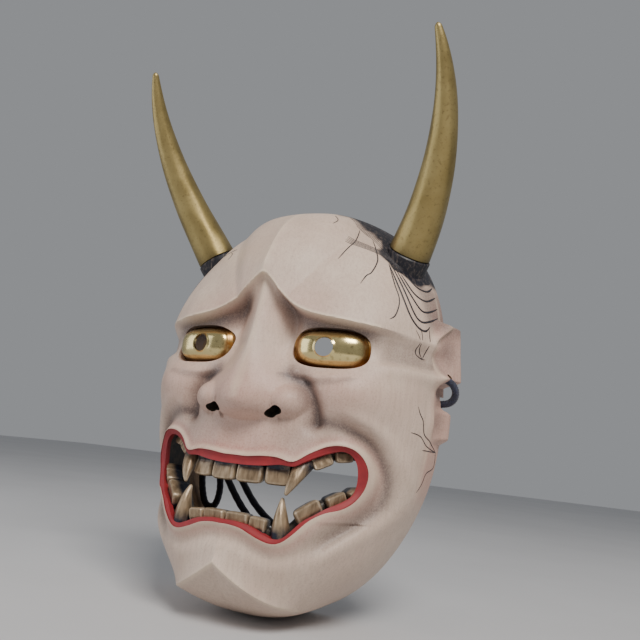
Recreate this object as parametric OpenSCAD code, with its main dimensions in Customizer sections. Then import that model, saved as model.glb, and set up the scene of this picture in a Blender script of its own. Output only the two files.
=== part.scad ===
// Noh mask of the horned, fanged demon type.
// Frame: the flat back rim lies in the XZ plane, +Z is up, the face looks along -Y.
// The origin is the middle of the rim plane, level with the two cord holes at the ears.

/* [Face] */
// Half width of the rim at the cheeks
rim_half_w = 75; // [72:0.5:78]
// Height of the rim above the cord holes
rim_top = 87.5; // [86:0.5:90]
// Depth of the rim below the cord holes, to the chin
rim_chin = 118; // [116:0.5:120]
// Depth of the brow in front of the rim plane
face_depth = 60; // [58:0.5:62]
// Thickness of the carved wall at the rim
wall = 8; // [7:0.5:9]

/* [Eyes] */
// Distance of an eye plate's middle from the centre plane
eye_x = 34; // [33:0.5:35]
// Height of an eye plate's middle
eye_z = 5; // [4:0.5:6]
// Length of an eye plate
eye_len = 36; // [34:0.5:37]
// Height of an eye plate
eye_high = 18.6; // [17:0.2:19]
// Thickness of the gilt eye plate
eye_thick = 1.4; // [1.2:0.1:1.8]
// Radius of the pupil that the wearer looks through
pupil_r = 4.3; // [3.8:0.1:4.5]

/* [Horns] */
// Radius of a horn at its base
horn_r = 10.8; // [10:0.2:11]
// Radius of the tenon that plugs into the socket
tenon_r = 5; // [4:0.5:6]
// Length of the tenon
tenon_len = 12; // [10:0.5:13]
// Radial clearance of the tenon in its socket
tenon_fit = 0.05; // [0.02:0.01:0.1]

/* [Cord] */
// Diameter of the braided cord
cord_d = 3.5; // [3:0.1:4]
// Radius of the cord hole behind each ear
cord_hole_r = 2.3; // [2.2:0.1:2.8]

/* [Hidden] */

paint = [0.86, 0.78, 0.71];
gilt = [0.72, 0.58, 0.30];
bronze = [0.42, 0.35, 0.25];
horn_gold = [0.52, 0.44, 0.26];
navy = [0.05, 0.06, 0.14];

grid_u = 48;            // cells across the carved face
grid_v = 66;            // cells down the carved face
hollow_u = 20;
hollow_v = 26;
front = -100;           // a plane in front of everything

// ---- shape helpers ----
function smooth(a, b, v) = let (t = max(0, min(1, (v - a) / (b - a)))) t * t * (3 - 2 * t);
function band(v, a, b, soft) = smooth(a - soft, a + soft, v) * (1 - smooth(b - soft, b + soft, v));
function hill(x, z, cx, cz, sx, sz) =
    exp(-(x - cx) * (x - cx) / (2 * sx * sx) - (z - cz) * (z - cz) / (2 * sz * sz));
function soft_max(a, b, k) = let (h = max(0, min(1, 0.5 + 0.5 * (a - b) / k))) b + (a - b) * h + k * h * (1 - h);
function unit(v) = v / norm(v);
// Bends a sine or cosine so that a circle becomes a square with round corners.
function square_off(v) = sign(v) * sqrt(abs(v));
// Distance from p to a path, and how far along the path its nearest point is, from 0 to 1.
function path_near(p, path) =
    let (n = len(path) - 1,
         all = [for (i = [0:n - 1])
             let (a = path[i], ab = path[i + 1] - a, t = max(0, min(1, ((p - a) * ab) / (ab * ab))))
             [norm(p - a - t * ab), (i + t) / n]],
         best = min([for (v = all) v[0]]))
    [for (v = all) if (v[0] == best) v][0];
function curve_point(p0, p1, p2, p3, t) =
    0.5 * (2 * p1 + (p2 - p0) * t + (2 * p0 - 5 * p1 + 4 * p2 - p3) * t * t
        + (3 * p1 - p0 - 3 * p2 + p3) * t * t * t);
// A smooth curve through points, with n steps from each point to the next.
function smooth_path(p, n) = [
    for (i = [0:len(p) - 2], k = [0:n - 1])
        curve_point(p[max(i - 1, 0)], p[i], p[i + 1], p[min(i + 2, len(p) - 1)], k / n),
    p[len(p) - 1]];

// ---- the carved face ----
// A square of side 2 laid onto a disc, as direction and radius.
function disc(s, t) = [s * sqrt(1 - t * t / 2), t * sqrt(1 - s * s / 2)];

// Point of a plain half egg: s and t run from -1 to 1, w, top, chin and depth are its sizes.
function egg(s, t, w, top, chin, depth) =
    let (d = disc(s, t), q = min(1, norm(d)), e = q > 0 ? d / q : [0, 1],
         n = e[1] < 0 ? 2.4 + 1.6 * smooth(0.55, 0.95, -e[1])
             : 2.4 - 0.6 * smooth(0.2, 0.75, e[1]) + 0.6 * smooth(0.85, 1, e[1]),
         out = pow(sin(90 * q), 2 / n), fore = q > 0.9999 ? 0 : pow(cos(90 * q), 2 / n),
         round_out = e[1] < 0 ? 1 / pow(pow(abs(e[0]), 2.2) + pow(abs(e[1]), 2.2), 1 / 2.2)
             : 1 / pow(pow(abs(e[0]), 2.4) + pow(abs(e[1]), 2.4), 1 / 2.4),
         z = e[1] * out * round_out * (e[1] < 0 ? chin : top),
         x = e[0] * out * round_out * w * (1 + 0.03 * hill(0, z, 0, -50, 1, 25)))
    [x, -(depth + 12 * smooth(30, 95, -z)) * fore, z];

// Height of the brow's sharp edge, raised at the middle as in anguish.
function brow_line(x) = 14.3 + 6.2 * exp(-pow(x / 50, 2)) + 18.5 * exp(-pow(x / 13, 1.6));
// Height of the chin boss's edge, an upturned V.
function chin_line(x) = -90.5 - 0.75 * x + 0.006 * x * x;

nose_groove = [[19, -7.5], [24, -11], [28.5, -16.5], [31.5, -23], [32, -29]];
cheek_groove = [[37, -28], [46, -30.5], [54, -35], [59, -43.5], [60.5, -52], [58, -61], [50.5, -69.5], [43, -76],
                [36, -83], [31, -89]];
// Ridge of the nose: heights and depths.
nose_ridge = [[-60, 20], [-36, 50], [-31, 61], [-27, 70.5], [-23, 73.8], [-18, 74], [-10, 71.2], [0, 67.3],
              [10, 64.2], [20, 61.8], [30, 60], [38, 58.5], [60, 50]];

// How far the carving stands forward of the plain egg.
function relief(x, z) =
    let (above = z - brow_line(x), below = chin_line(x) - z, under = smooth(0, 3, -above),
         ledge = (5 + 1.5 * band(x, 14, 46, 5)) * (1 - smooth(52, 70, x)),
         groove = path_near([x, z], nose_groove))
    ledge * (above > 0 ? exp(-above / 26) : exp(above / 1.6))
    - under * (5 * hill(x, z, 33, 6, 19, 8) + 8 * hill(x, z, 12, 16, 4.8, 9))
    + 3.4 * exp(-x / 7) * smooth(34, 46, z) * (1 - smooth(66, 86, z))
    + 1.5 * hill(x, z, 30, 46, 18, 14)
    + 3.5 * hill(x, z, 0, -58, 26, 22)
    + 7.5 * hill(x, z, 50, -15, 12.5, 9.5)
    - 5.5 * exp(-pow(groove[0] / 3.6, 2)) * smooth(0, 0.3, groove[1])
    + (6.8 + 0.1 * x) * (1 - smooth(24, 44, x)) * (below > 0 ? exp(-below / 17) : exp(below / 7.5));

// Carving that stands square to the side of the face: temple, cheek bone and the fold round the mouth.
function folds(x, z) =
    let (groove = path_near([x, z], cheek_groove), along = smooth(0, 0.22, groove[1]) * (1 - smooth(0.78, 1, groove[1])))
    -2.6 * smooth(-1, 2.5, z) * (1 - smooth(9, 15, z)) * smooth(53, 62, x)
    + 1.3 * exp(-pow((z + 2) / 3.5, 2)) * smooth(50, 60, x)
    + along * (1.3 * exp(-pow((groove[0] - 6) / 3, 2)) - 4.6 * exp(-pow(groove[0] / 3.4, 2)));

function nose(x, z) =
    let (r = 2.2 + 6.8 * smooth(6, -18, z), slope = 1.1 - 0.2 * smooth(10, -15, z),
         roof = lookup(z, nose_ridge) - slope * (sqrt(x * x + r * r) - r),
         q = 1 - pow((x - 18.5) / 10.5, 2) - pow((z + 21) / 8.5, 2),
         wing = q > 0 ? 54 + 13 * sqrt(q) : 54 + 20 * q)
    soft_max(roof, wing, 2.2);

// How far the ear stands out of the side, at depth y and height z.
function ear(y, z) =
    let (rim_y = -20 + 11 * smooth(14, 28, z))
    smooth(-21, -2, y) * 8.4 * band(z, -2, 27.5, 2) + smooth(-16, -3, y) * 4 * band(z, -30, -15, 2)
    + 2.4 * exp(-pow((y - rim_y) / 1.9, 2)) * band(z, 3, 27, 3)
    - 3.2 * hill(y, z, -8.5, 13, 4.5, 8) + 3.8 * hill(y, z, -15, 0.5, 3.6, 3.4)
    + 1.6 * hill(y, z, -17, -22, 2.2, 5) - 1.5 * hill(y, z, -10, -22, 3, 5) - 2 * hill(y, z, -8, -5, 3.5, 4);

function face_point(s, t) =
    let (p = egg(s, t, rim_half_w, rim_top, rim_chin, face_depth), x = abs(p[0]), z = p[2],
         side = folds(x, z) * smooth(4, 18, -p[1]), turn = smooth(46, 72, x),
         depth = -p[1] + smooth(6, 30, -p[1]) * relief(x, z) + side * (1 - turn),
         fore = x < 36 && z > -42 && z < 48 ? soft_max(depth, nose(x, z), 2.2) : depth,
         out = (x > 50 ? ear(p[1], z) : 0) + side * turn)
    [sign(p[0]) * (x + out), -fore, z];

function hollow_point(s, t) =
    let (p = egg(s, t, rim_half_w - wall, rim_top - wall - 3, rim_chin - wall - 1, face_depth - 16), x = abs(p[0]),
         fade = smooth(0, 25, -p[1]))
    [p[0], p[1] - fade * (11 * hill(x, p[2], 0, -16, 12, 16) + 4 * hill(x, p[2], 0, -60, 34, 26)), p[2]];

// A closed solid from a grid of points whose edge lies in one plane of constant y.
module dome(points, nu, nv) {
    function at(i, j) = j * (nu + 1) + i;
    cells = [for (j = [0:nv - 1], i = [0:nu - 1], k = [0:1])
        k == 0 ? [at(i, j), at(i, j + 1), at(i + 1, j)] : [at(i + 1, j), at(i, j + 1), at(i + 1, j + 1)]];
    edge = concat([for (i = [0:nu - 1]) at(i, 0)], [for (j = [0:nv - 1]) at(nu, j)],
                  [for (i = [nu:-1:1]) at(i, nv)], [for (j = [nv:-1:1]) at(0, j)]);
    polyhedron(points, concat(cells, [edge]), convexity = 10);
}

module face_block() {
    dome([for (j = [0:grid_v], i = [0:grid_u]) face_point(2 * i / grid_u - 1, 2 * j / grid_v - 1)],
         grid_u, grid_v);
}

module hollow_block() {
    translate([0, 0.5, 0])
        dome([for (j = [0:hollow_v], i = [0:hollow_u]) hollow_point(2 * i / hollow_u - 1, 2 * j / hollow_v - 1)],
             hollow_u, hollow_v);
}

// ---- mouth ----
// Right half of the opening inside the red lips, from the middle of the upper lip round to the lower one.
gape_half = smooth_path([[0, -50], [14, -49.4], [21, -48.3], [27, -48.4], [31, -46], [35, -43.4], [40, -41],
    [44.5, -39.9], [48, -41], [50.3, -44.2], [51, -49], [50.7, -54], [49.5, -58], [46.5, -61], [38.3, -67],
    [34, -70.3], [30, -75], [27, -77.7], [23.3, -78.3], [19, -76.9], [13, -74.5], [6, -73.4], [0, -73.4]], 2);
gape_loop = concat(gape_half, [for (i = [len(gape_half) - 2:-1:1]) [-gape_half[i][0], gape_half[i][1]]]);
lip_edge = 3.6;         // depth of the lips' edge, before the mouth widens behind them
mouth_undercut = 1.3;

module mouth_opening() {
    translate([0, -20, 0]) rotate([90, 0, 0]) linear_extrude(90) polygon(gape_loop);
    intersection() {
        translate([0, -20, 0]) rotate([90, 0, 0]) linear_extrude(90) offset(delta = mouth_undercut) polygon(gape_loop);
        translate([0, lip_edge, 0]) face_block();
    }
}

// Depth of the front of a row of teeth at a distance x from the middle.
function row_depth(lower, x) =
    lower ? 67 - 0.0052 * x * x - 0.016 * pow(max(0, abs(x) - 24), 2) : 62.8 - 0.0088 * x * x;
// Turn of a tooth that faces squarely out of its row.
function row_turn(lower, x) = atan(row_depth(lower, x - 0.5) - row_depth(lower, x + 0.5));

// The carved ridge that carries a row of teeth, behind the lips.
gum_x = [-54, -44, -36, -29, -22, 0, 22, 29, 36, 44, 54];
upper_gum_z = [-39, -39.5, -41.5, -45.5, -47.5, -48.5, -47.5, -45.5, -41.5, -39.5, -39];
lower_gum_z = [-59, -63.5, -68.5, -76, -79, -77.5, -79, -76, -68.5, -63.5, -59];
gum_r = 4;

module gum(lower, heights) {
    sweep([for (i = [0:len(gum_x) - 1]) let (x = gum_x[i], turn = row_turn(lower, x))
        [x - 6.8 * sin(turn), 6.8 * cos(turn) - row_depth(lower, x), heights[i]]], [for (x = gum_x) gum_r], 10);
}

// ---- eyes ----
module eye_frame() {
    translate([eye_x, -50, eye_z]) rotate([0, 0, 12]) children();
}

module slot_prism(grow, y0, y1) {
    r = eye_high / 2 + grow;
    translate([0, y1, 0]) rotate([90, 0, 0]) linear_extrude(y1 - y0) {
        square([eye_len - eye_high, 2 * r], center = true);
        for (side = [-1, 1]) translate([side * (eye_len - eye_high) / 2, 0]) circle(r, $fn = 32);
    }
}

// The gilt plate, a thin dome pierced by the pupil.
module eye_plate() {
    dome_r = 27;
    difference() {
        intersection() {
            slot_prism(0, -8, 4);
            translate([0, dome_r - 6, 0]) sphere(dome_r, $fn = 64);
        }
        translate([0, dome_r - 6 + eye_thick, 0]) sphere(dome_r, $fn = 64);
        translate([-2.5, 5, 0]) rotate([90, 0, 0]) cylinder(r = pupil_r, h = 20, $fn = 40);
    }
}

// ---- horns ----
horn_curve = [[57, -18.4, 60.8], [70.3, -28.8, 85], [85.3, -51.7, 117], [77.5, -72.6, 150]];
horn_axis = unit(horn_curve[1] - horn_curve[0]);
boss_r = horn_r + 0.6;
boss_len = 17;

function horn_at(t) = let (u = 1 - t)
    u * u * u * horn_curve[0] + 3 * u * u * t * horn_curve[1] + 3 * u * t * t * horn_curve[2]
    + t * t * t * horn_curve[3];
function horn_radius(t) = 1.3 + (horn_r - 1.3) * pow(1 - pow(t, 1.25), 0.8);

module along(point, direction) {
    turn = [0, acos(direction[2]), atan2(direction[1], direction[0])];
    translate(point) rotate(turn) children();
}

// Sweeps a round section along a list of points, with a radius for each. The first ring is square to start.
module sweep(points, radii, sides, start = [0, 0, 0]) {
    n = len(points);
    tangents = [for (i = [0:n - 1]) i == 0 && norm(start) > 0 ? unit(start)
        : unit(points[min(i + 1, n - 1)] - points[max(i - 1, 0)])];
    first = unit(cross(tangents[0], [0.31, 0.95, 0.05]));
    normals = [for (i = 0, v = first; i < n; i = i + 1,
        v = i < n ? unit(v - (v * tangents[i]) * tangents[i]) : v) v];
    rings = [for (i = [0:n - 1], k = [0:sides - 1])
        points[i] + radii[i] * (cos(360 * k / sides) * normals[i]
            + sin(360 * k / sides) * cross(tangents[i], normals[i]))];
    skin = [for (i = [0:n - 2], k = [0:sides - 1], half = [0:1])
        let (a = i * sides + k, b = i * sides + (k + 1) % sides)
            half == 0 ? [a, a + sides, b] : [b, a + sides, b + sides]];
    polyhedron(rings, concat(skin, [[for (k = [0:sides - 1]) k]],
        [[for (k = [sides - 1:-1:0]) (n - 1) * sides + k]]), convexity = 10);
}

module horn() {
    steps = 18;
    gap = 0.2;          // the horn's base stands clear of its boss
    color(horn_gold) {
        translate(gap * horn_axis)
            sweep([for (i = [0:steps]) horn_at(i / steps)], [for (i = [0:steps]) horn_radius(i / steps)], 20,
                horn_axis);
        along(horn_curve[0] - tenon_len * horn_axis, horn_axis) cylinder(r = tenon_r, h = tenon_len + 3, $fn = 48);
    }
}

module horn_boss() {
    along(horn_curve[0] - boss_len * horn_axis, horn_axis) cylinder(r = boss_r, h = boss_len, $fn = 48);
}

// The socket, and the flat seat that keeps the brow clear of the horn.
module horn_socket() {
    along(horn_curve[0] - (tenon_len + 0.5) * horn_axis, horn_axis)
        cylinder(r = tenon_r + tenon_fit, h = tenon_len + 3, $fn = 48);
    along(horn_curve[0], horn_axis) cylinder(r = boss_r + 0.5, h = 25, $fn = 48);
}

// ---- the carved shell ----
cord_hole = [0, -10, 0];
notch_low = -15;        // heights of the notch that leads the cord back through the rim
notch_high = -8;

module cord_way() {
    translate([60, cord_hole[1], cord_hole[2]]) rotate([0, 90, 0]) cylinder(r = cord_hole_r, h = 30, $fn = 32);
    translate([58, -5.2, notch_low]) cube([32, 8, notch_high - notch_low]);
}

module nostril() {
    sweep([[13.5, -44, -9], [14.5, -55, -18], [15.5, -64, -26], [16.2, -72, -33]], [2.6, 2.6, 2.9, 3.4], 12);
}

module both_sides() {
    children();
    mirror([1, 0, 0]) children();
}

module carved_face() {
    resize([0, 0, 0]) difference() {
        union() {
            difference() {
                face_block();
                hollow_block();
                mouth_opening();
            }
            intersection() {
                union() {
                    gum(false, upper_gum_z);
                    gum(true, lower_gum_z);
                }
                translate([0, 2, 0]) face_block();
            }
        }
        both_sides() eye_frame() slot_prism(-0.8, -20, 30);
        both_sides() eye_frame() slot_prism(0.15, -20, 2);
        both_sides() nostril();
    }
}

module mask_shell() {
    color(paint) difference() {
        union() {
            carved_face();
            both_sides() horn_boss();
        }
        both_sides() horn_socket();
        both_sides() cord_way();
    }
}

// ---- teeth ----
// [name, x, z, width, height, tilt] of the plain gilt tooth plates.
plates = [
    ["upper_incisor_inner", 6.6, -52.3, 12.2, 10.4, 0],
    ["upper_incisor_outer", 19.1, -51.9, 11, 10.6, 0],
    ["upper_molar_front", 36.8, -44, 7.8, 8.2, 20],
    ["upper_molar_back", 44.4, -41.2, 7, 7.4, 8],
    ["lower_incisor_inner", 5.7, -73.8, 10.6, 8, 0],
    ["lower_incisor_outer", 15.4, -74.4, 7.2, 8, -4],
    ["lower_molar_front", 36, -67, 10, 8, 32],
    ["lower_molar_middle", 44.4, -61.8, 7.6, 7.6, 28],
    ["lower_molar_back", 50.3, -57.9, 4.8, 6.6, 30]];

// [name, root x, root z, tip, root radius]
fangs = [
    ["upper_fang", 29.3, -47, [25.4, -62.6, -60.6], 4],
    ["lower_fang", 24.6, -78.5, [23.4, -60.6, -61.8], 4.4]];

// Rings of a tooth plate, from the crown of its front to its narrower back: [depth, share of its outline].
tooth_rings = [[-1, 0.5], [-0.2, 0.88], [1.2, 1], [7.2, 0.8]];

function is_lower(name) = name[0] == "l";

module plate(p) {
    lower = is_lower(p[0]);
    sides = 16;
    points = [for (ring = tooth_rings, k = [0:sides - 1]) let (a = 360 * (k + 0.5) / sides)
        [ring[1] * p[3] / 2 * square_off(cos(a)), ring[0], ring[1] * p[4] / 2 * square_off(sin(a))]];
    skin = [for (i = [0:len(tooth_rings) - 2], k = [0:sides - 1])
        let (a = i * sides + k, b = i * sides + (k + 1) % sides) [a, b, b + sides, a + sides]];
    back = len(points) - sides;
    color(bronze) translate([p[1], -row_depth(lower, p[1]), p[2]]) rotate([0, 0, row_turn(lower, p[1])])
        rotate([0, -p[5], 0])
        polyhedron(points, concat(skin, [[for (k = [sides - 1:-1:0]) k]], [[for (k = [0:sides - 1]) back + k]]));
}

module fang(p) {
    steps = 7;
    start = [p[1], 3 - row_depth(is_lower(p[0]), p[1]), p[2]];
    line = [for (i = [0:steps]) let (t = i / steps) start + (p[3] - start) * t + 4 * t * (1 - t) * [0.4, -1.6, 0]];
    radii = [for (i = [0:steps]) let (t = i / steps) 0.55 + (p[4] - 0.55) * pow(1 - pow(t, 1.15), 0.85)];
    color(bronze) sweep(line, radii, 12);
}

// ---- cord ----
// Route of the cord: a loop hanging from the knot, round the right ear's wall, across, round the left ear's
// wall, and back to the knot.
cord_route = [
    [-61.5, -6, -22], [-60.5, -6, -32], [-57.5, -6, -44], [-55, -6, -56], [-53, -6, -67], [-49.5, -6, -74.5],
    [-44, -6, -74.5], [-42, -6, -66], [-44.5, -6, -54], [-50, -6, -40], [-56, -6, -28], [-61, -5, -19],
    [-66, -3.4, -14], [-71, -2.9, -11.8], [-75.5, -2.9, -11.5], [-78.9, -3.4, -10.7], [-81.3, -4.7, -8.6],
    [-82.2, -6.4, -5.7], [-81.3, -8.2, -2.9], [-78.9, -9.5, -0.8], [-75.5, -10, 0], [-71, -10, 0],
    [-66, -10.5, -2], [-60.5, -11.5, -9], [-54, -12, -24], [-46, -11, -42], [-36, -9, -60], [-25, -8, -74],
    [-12, -8, -84], [4, -8, -88], [20, -8, -83], [34, -8, -69], [46, -10, -46], [55, -12, -24],
    [60.5, -11.5, -9], [66, -10.5, -2], [71, -10, 0], [75.5, -10, 0], [78.9, -9.5, -0.8], [81.3, -8.2, -2.9],
    [82.2, -6.4, -5.7], [81.3, -4.7, -8.6], [78.9, -3.4, -10.7], [75.5, -2.9, -11.5], [71, -2.9, -11.8],
    [66, -3, -14], [60, -3, -22], [50, -3, -38], [34, -3, -63], [16, -3, -79], [-2, -3, -82], [-20, -3, -72],
    [-36, -3, -53], [-50, -3, -34], [-58.5, -3.5, -24]];

module wearing_cord() {
    line = smooth_path(cord_route, 2);
    color(navy) sweep(line, [for (p = line) cord_d / 2], 8);
}

module cord_knot() {
    color(navy) hull() {
        translate([-60.3, -5, -22]) sphere(3.4, $fn = 12);
        translate([-61.5, -5, -18.5]) sphere(3, $fn = 12);
    }
}

mask_shell();
color(gilt) eye_frame() eye_plate();  // eye_plate_left
color(gilt) mirror([1, 0, 0]) eye_frame() eye_plate();  // eye_plate_right
horn();  // horn_left
mirror([1, 0, 0]) horn();  // horn_right
for (p = plates) {
    plate(p);
    mirror([1, 0, 0]) plate(p);
}
for (p = fangs) {
    fang(p);
    mirror([1, 0, 0]) fang(p);
}
wearing_cord();
cord_knot();
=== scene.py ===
import math

import bmesh
import bpy
import numpy as np
from mathutils import Matrix, Vector
from mathutils.bvhtree import BVHTree


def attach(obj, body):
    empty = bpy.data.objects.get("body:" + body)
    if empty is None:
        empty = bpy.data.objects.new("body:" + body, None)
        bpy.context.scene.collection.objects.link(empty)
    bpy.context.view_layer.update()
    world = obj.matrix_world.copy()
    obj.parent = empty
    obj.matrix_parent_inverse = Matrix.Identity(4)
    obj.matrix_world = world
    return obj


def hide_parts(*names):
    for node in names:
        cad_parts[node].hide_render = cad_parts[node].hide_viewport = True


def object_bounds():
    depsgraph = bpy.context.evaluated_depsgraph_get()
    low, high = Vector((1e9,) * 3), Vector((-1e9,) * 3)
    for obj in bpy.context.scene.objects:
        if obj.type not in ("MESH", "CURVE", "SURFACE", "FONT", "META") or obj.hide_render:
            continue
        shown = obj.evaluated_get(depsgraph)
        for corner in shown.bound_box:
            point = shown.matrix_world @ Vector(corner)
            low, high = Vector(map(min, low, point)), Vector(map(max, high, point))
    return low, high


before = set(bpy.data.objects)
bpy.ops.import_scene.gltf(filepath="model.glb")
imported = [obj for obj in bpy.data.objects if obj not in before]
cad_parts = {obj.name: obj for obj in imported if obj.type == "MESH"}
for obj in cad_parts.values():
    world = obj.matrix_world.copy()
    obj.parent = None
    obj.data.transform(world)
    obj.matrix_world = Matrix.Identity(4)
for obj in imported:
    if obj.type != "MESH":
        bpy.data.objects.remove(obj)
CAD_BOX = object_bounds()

MM = 0.001

# ---------------------------------------------------------------- camera
# Held close and low on the mask's left, looking slightly up.
CAMERA_AT = (0.1488, -0.3142, -0.0436)
CAMERA_RIGHT = Vector((0.9116, 0.3961, 0.1103))
CAMERA_UP = Vector((-0.0148, -0.2363, 0.9716))
cam_data = bpy.data.cameras.new("camera")
cam_data.lens = 36.0
cam_data.sensor_width = 36.0
cam_data.clip_start = 0.01
camera = bpy.data.objects.new("camera", cam_data)
bpy.context.scene.collection.objects.link(camera)
right = CAMERA_RIGHT.normalized()
back = right.cross(CAMERA_UP).normalized()
up = back.cross(right)
camera.matrix_world = Matrix((
    (right.x, up.x, back.x, CAMERA_AT[0]),
    (right.y, up.y, back.y, CAMERA_AT[1]),
    (right.z, up.z, back.z, CAMERA_AT[2]),
    (0, 0, 0, 1)))
bpy.context.scene.camera = camera


# ---------------------------------------------------------------- curves and blends
def smooth(a, b, v):
    t = np.clip((v - a) / (b - a), 0, 1)
    return t * t * (3 - 2 * t)


def band(v, low, high, soft):
    """1 between low and high, falling to 0 over soft on each side."""
    return smooth(low - soft, low + soft, v) * (1 - smooth(high - soft, high + soft, v))


def square_off(v, power=0.5):
    return np.sign(v) * np.abs(v) ** power


def hill(x, z, cx, cz, sx, sz):
    return np.exp(-(x - cx) ** 2 / (2 * sx * sx) - (z - cz) ** 2 / (2 * sz * sz))


def soft_max(a, b, k):
    h = np.clip(0.5 + 0.5 * (a - b) / k, 0, 1)
    return b + (a - b) * h + k * h * (1 - h)


def smooth_path(points, n):
    """A smooth curve through points, with n steps from each to the next."""
    p = np.asarray(points, float)
    out = []
    for i in range(len(p) - 1):
        p0, p1, p2, p3 = p[max(i - 1, 0)], p[i], p[i + 1], p[min(i + 2, len(p) - 1)]
        for k in range(n):
            t = k / n
            out.append(0.5 * (2 * p1 + (p2 - p0) * t + (2 * p0 - 5 * p1 + 4 * p2 - p3) * t * t
                              + (3 * p1 - p0 - 3 * p2 + p3) * t ** 3))
    out.append(p[-1])
    return np.array(out)


def path_dist(x, z, path):
    """Distance to a path, how far along it the nearest point is (0 to 1), and the side."""
    path = np.asarray(path, float)
    d = np.full(np.shape(x), 1e9)
    along = np.zeros(np.shape(x))
    side = np.zeros(np.shape(x))
    steps = np.r_[0, np.cumsum(np.linalg.norm(np.diff(path, axis=0), axis=1))]
    for i in range(len(path) - 1):
        a, ab = path[i], path[i + 1] - path[i]
        t = np.clip(((x - a[0]) * ab[0] + (z - a[1]) * ab[1]) / (ab @ ab), 0, 1)
        dx, dz = x - a[0] - t * ab[0], z - a[1] - t * ab[1]
        dd = np.hypot(dx, dz)
        near = dd < d
        d = np.where(near, dd, d)
        along = np.where(near, (steps[i] + t * (steps[i + 1] - steps[i])) / steps[-1], along)
        side = np.where(near, np.sign(ab[0] * dz - ab[1] * dx), side)
    return d, along, side


# ---------------------------------------------------------------- the carved face, in mm
HALF_W, TOP, CHIN, DEPTH, WALL = 75.0, 87.5, 118.0, 60.0, 8.0

# Ridge of the nose: heights and depths
RIDGE_Z = [-60, -36, -31, -27, -23, -18, -10, 0, 10, 20, 30, 38, 60]
RIDGE_Y = [20, 50, 61, 70.5, 73.8, 74.0, 71.2, 67.3, 64.2, 61.8, 60, 58.5, 50]
# Right half of the lips' outer edge, and of the opening inside them
LIP = smooth_path([(0, -46.2), (6, -46.2), (13, -45.4), (20, -45.3), (27, -46.4), (33, -42), (39, -38.6),
                   (45, -37.6), (50, -38.8), (53.5, -42.5), (55.3, -48), (54.5, -54), (51.5, -60),
                   (47.5, -63.8), (42, -66), (37, -69.6), (32, -75.3), (27.5, -79.2), (23, -80.2),
                   (17, -78.6), (10, -75.8), (4, -74.9), (0, -74.9)], 5)
GAPE = smooth_path([(0, -50), (6, -50), (14, -49.4), (21, -48.3), (27, -48.4), (31, -46), (35, -43.4),
                    (40, -41), (44.5, -39.9), (48, -41), (50.3, -44.2), (51, -49), (50.7, -54), (49.5, -58),
                    (46.5, -61), (42, -64), (38.3, -67), (34, -70.3), (30, -75), (27, -77.7), (23.3, -78.3),
                    (19, -76.9), (13, -74.5), (6, -73.4), (0, -73.4)], 5)
NOSE_GROOVE = smooth_path([(19, -7.5), (24, -11), (28.5, -16.5), (31.5, -23), (32, -29)], 4)
EYE_BAG = smooth_path([(17, -6.5), (25, -8.8), (36, -8.8), (46, -6.5)], 4)
CHEEK_GROOVE = smooth_path([(37, -28), (46, -30.5), (54, -35), (59, -43.5), (60.5, -52), (58, -61),
                            (50.5, -69.5), (43, -76), (36, -83), (31, -89)], 4)


def brow_line(x):
    """Height of the brow's sharp edge, raised at the middle as in anguish."""
    return 14.3 + 6.2 * np.exp(-(x / 50) ** 2) + 18.5 * np.exp(-(x / 13) ** 1.6)


def chin_line(x):
    """Height of the chin boss's edge, an upturned V."""
    return -90.5 - 0.75 * x + 0.006 * x * x


def egg(s, t, w, top, chin, depth):
    a = s * np.sqrt(1 - t * t / 2)
    b = t * np.sqrt(1 - s * s / 2)
    q = np.minimum(1, np.hypot(a, b))
    qq = np.where(q > 1e-9, q, 1)
    e0, e1 = np.where(q > 1e-9, a / qq, 0.0), np.where(q > 1e-9, b / qq, 1.0)
    n = np.where(e1 < 0, 2.4 + 1.6 * smooth(0.55, 0.95, -e1),
                 2.4 - 0.6 * smooth(0.2, 0.75, e1) + 0.6 * smooth(0.85, 1, e1))
    r = np.pi / 2 * q
    out = np.sin(r) ** (2 / n)
    fore = np.where(q > 0.9999, 0, np.abs(np.cos(r)) ** (2 / n))
    ex = np.where(e1 < 0, 2.2, 2.4)
    round_out = 1 / (np.abs(e0) ** ex + np.abs(e1) ** ex) ** (1 / ex)
    z = e1 * out * round_out * np.where(e1 < 0, chin, top)
    x = e0 * out * round_out * w * (1 + 0.03 * np.exp(-(z + 50) ** 2 / (2 * 25 * 25)))
    return x, -(depth + 12 * smooth(30, 95, -z)) * fore, z


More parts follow.
